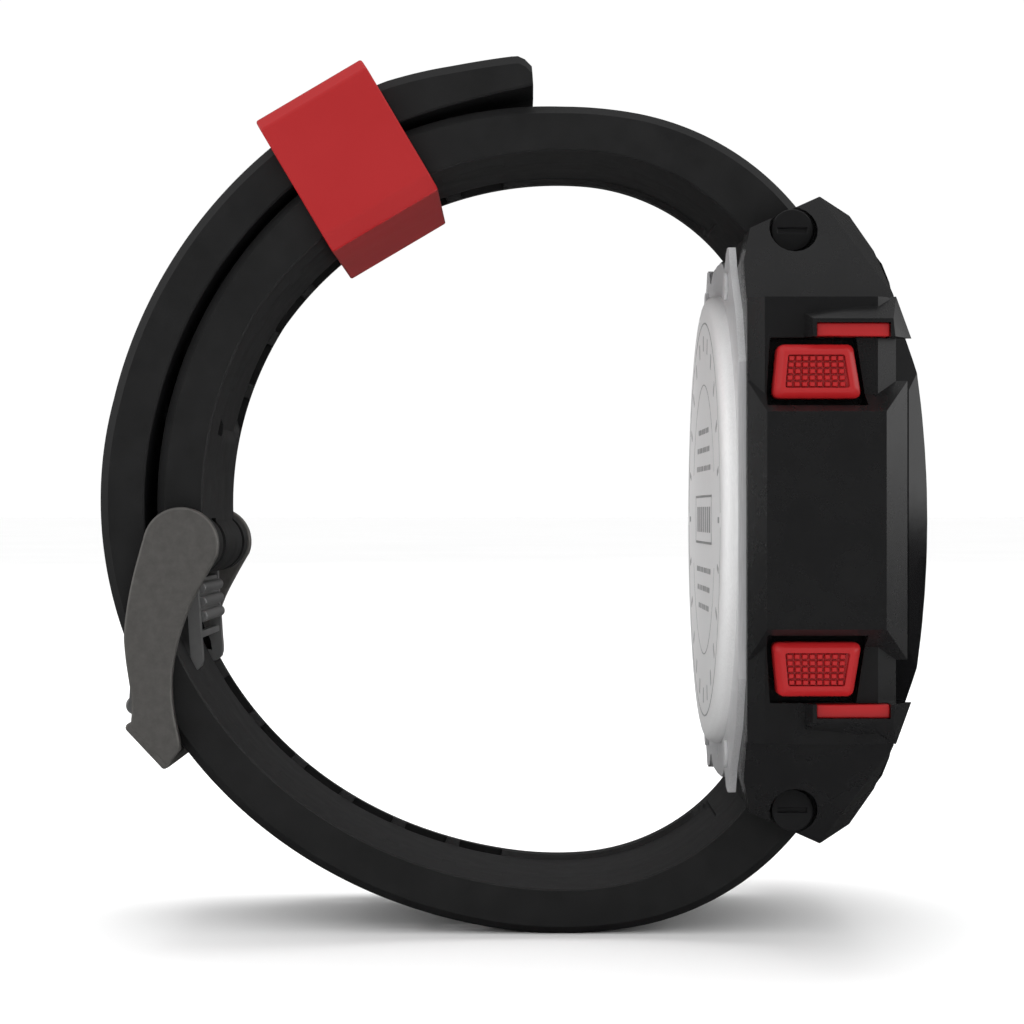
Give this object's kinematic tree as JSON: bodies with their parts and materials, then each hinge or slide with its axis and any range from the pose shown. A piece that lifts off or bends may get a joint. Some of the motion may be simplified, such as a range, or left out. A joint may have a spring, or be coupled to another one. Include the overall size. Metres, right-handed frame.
{
  "type": "dive computer",
  "caption": "Wrist dive computer: faceted black case with red side buttons and steel back, on a closed rubber strap with a steel buckle and red keeper.",
  "frame": {"origin": "centre of the case back's flat face, which rests on the wrist", "axes": "+X out of the display, +Z to 12 o'clock (buckle half of the strap), +Y to 3 o'clock"},
  "size_m": [0.0669, 0.048, 0.0726],
  "materials": {
    "case_plastic": "satin black moulding",
    "bezel_gloss": "gloss black",
    "lens_glass": "dark tinted, polished",
    "seal_rubber": "smooth",
    "board": "solder mask",
    "frame_plastic": "moulded",
    "diffuser": "frosted",
    "lcd": "polished",
    "brass": "plain",
    "brushed_steel": "brushed",
    "dark_steel": "dark, brushed, with polished edges",
    "tongue_steel": "satin",
    "spring_steel": "plain",
    "red_plastic": "gloss red moulding",
    "strap_rubber": "matte black rubber"
  },
  "bodies": {
    "root": {"accent_bar_lower_left": "red_plastic", "accent_bar_lower_right": "red_plastic", "accent_bar_upper_left": "red_plastic", "accent_bar_upper_right": "red_plastic", "back_plate": "brushed_steel", "back_screw_lower_left": "brushed_steel", "back_screw_lower_right": "brushed_steel", "back_screw_upper_left": "brushed_steel", "back_screw_upper_right": "brushed_steel", "backlight": "diffuser", "battery": "spring_steel", "battery_contact": "spring_steel", "battery_cover": "brushed_steel", "buckle_pin": "spring_steel", "button_seal_lower_left": "seal_rubber", "button_seal_lower_right": "seal_rubber", "button_seal_upper_left": "seal_rubber", "button_seal_upper_right": "seal_rubber", "button_spring_lower_left": "spring_steel", "button_spring_lower_right": "spring_steel", "button_spring_upper_left": "spring_steel", "button_spring_upper_right": "spring_steel", "buzzer": "brass", "case_body": "case_plastic", "circuit_board": "board", "cover_gasket": "seal_rubber", "display_lens": "lens_glass", "display_mask": "bezel_gloss", "front_bezel": "bezel_gloss", "lcd_panel": "lcd", "lens_gasket": "seal_rubber", "lug_screw_lower_left": "dark_steel", "lug_screw_lower_right": "dark_steel", "lug_screw_upper_left": "dark_steel", "lug_screw_upper_right": "dark_steel", "module_frame": "frame_plastic", "pressure_sensor": "brushed_steel", "strap_lower": "strap_rubber", "strap_pin_lower": "spring_steel", "strap_pin_upper": "spring_steel", "strap_upper": "strap_rubber"},
    "button_upper_left": {"button_cap_upper_left": "red_plastic", "button_stem_upper_left": "spring_steel", "button_clip_upper_left": "spring_steel"},
    "button_upper_right": {"button_cap_upper_right": "red_plastic", "button_stem_upper_right": "spring_steel", "button_clip_upper_right": "spring_steel"},
    "button_lower_left": {"button_cap_lower_left": "red_plastic", "button_stem_lower_left": "spring_steel", "button_clip_lower_left": "spring_steel"},
    "button_lower_right": {"button_cap_lower_right": "red_plastic", "button_stem_lower_right": "spring_steel", "button_clip_lower_right": "spring_steel"},
    "keeper": {"strap_keeper": "red_plastic"},
    "buckle": {"buckle_frame": "dark_steel"},
    "tongue": {"buckle_tongue": "tongue_steel"}
  },
  "joints": [
    {"name": "button_press_upper_left", "type": "slide", "parent": "root", "child": "button_upper_left", "axis": [0, 1, 0], "range_m": [0, 0.0011], "stiffness_N_per_m": 1200, "springref_m": -0.0008, "deforming": ["button_spring_upper_left"]},
    {"name": "button_press_upper_right", "type": "slide", "parent": "root", "child": "button_upper_right", "axis": [0, -1, 0], "range_m": [0, 0.0011], "stiffness_N_per_m": 1200, "springref_m": -0.0008, "deforming": ["button_spring_upper_right"]},
    {"name": "button_press_lower_left", "type": "slide", "parent": "root", "child": "button_lower_left", "axis": [0, 1, 0], "range_m": [0, 0.0011], "stiffness_N_per_m": 1200, "springref_m": -0.0008, "deforming": ["button_spring_lower_left"]},
    {"name": "button_press_lower_right", "type": "slide", "parent": "root", "child": "button_lower_right", "axis": [0, -1, 0], "range_m": [0, 0.0011], "stiffness_N_per_m": 1200, "springref_m": -0.0008, "deforming": ["button_spring_lower_right"]},
    {"name": "keeper_slide", "type": "hinge", "parent": "root", "child": "keeper", "pos_m": [-0.0125, 0, 0], "axis": [0, 1, 0], "range_deg": [-16, 12]},
    {"name": "buckle_lift", "type": "hinge", "parent": "root", "child": "buckle", "pos_m": [-0.0438, 0, -0.00205], "axis": [0, 1, 0], "range_deg": [0, 6]},
    {"name": "tongue_lift", "type": "hinge", "parent": "root", "child": "tongue", "pos_m": [-0.0438, 0, -0.00205], "axis": [0, 1, 0], "range_deg": [0, 6]}
  ],
  "couplings": [
    {"joint": "tongue_lift", "follows": "buckle_lift", "ratio": 1}
  ]
}
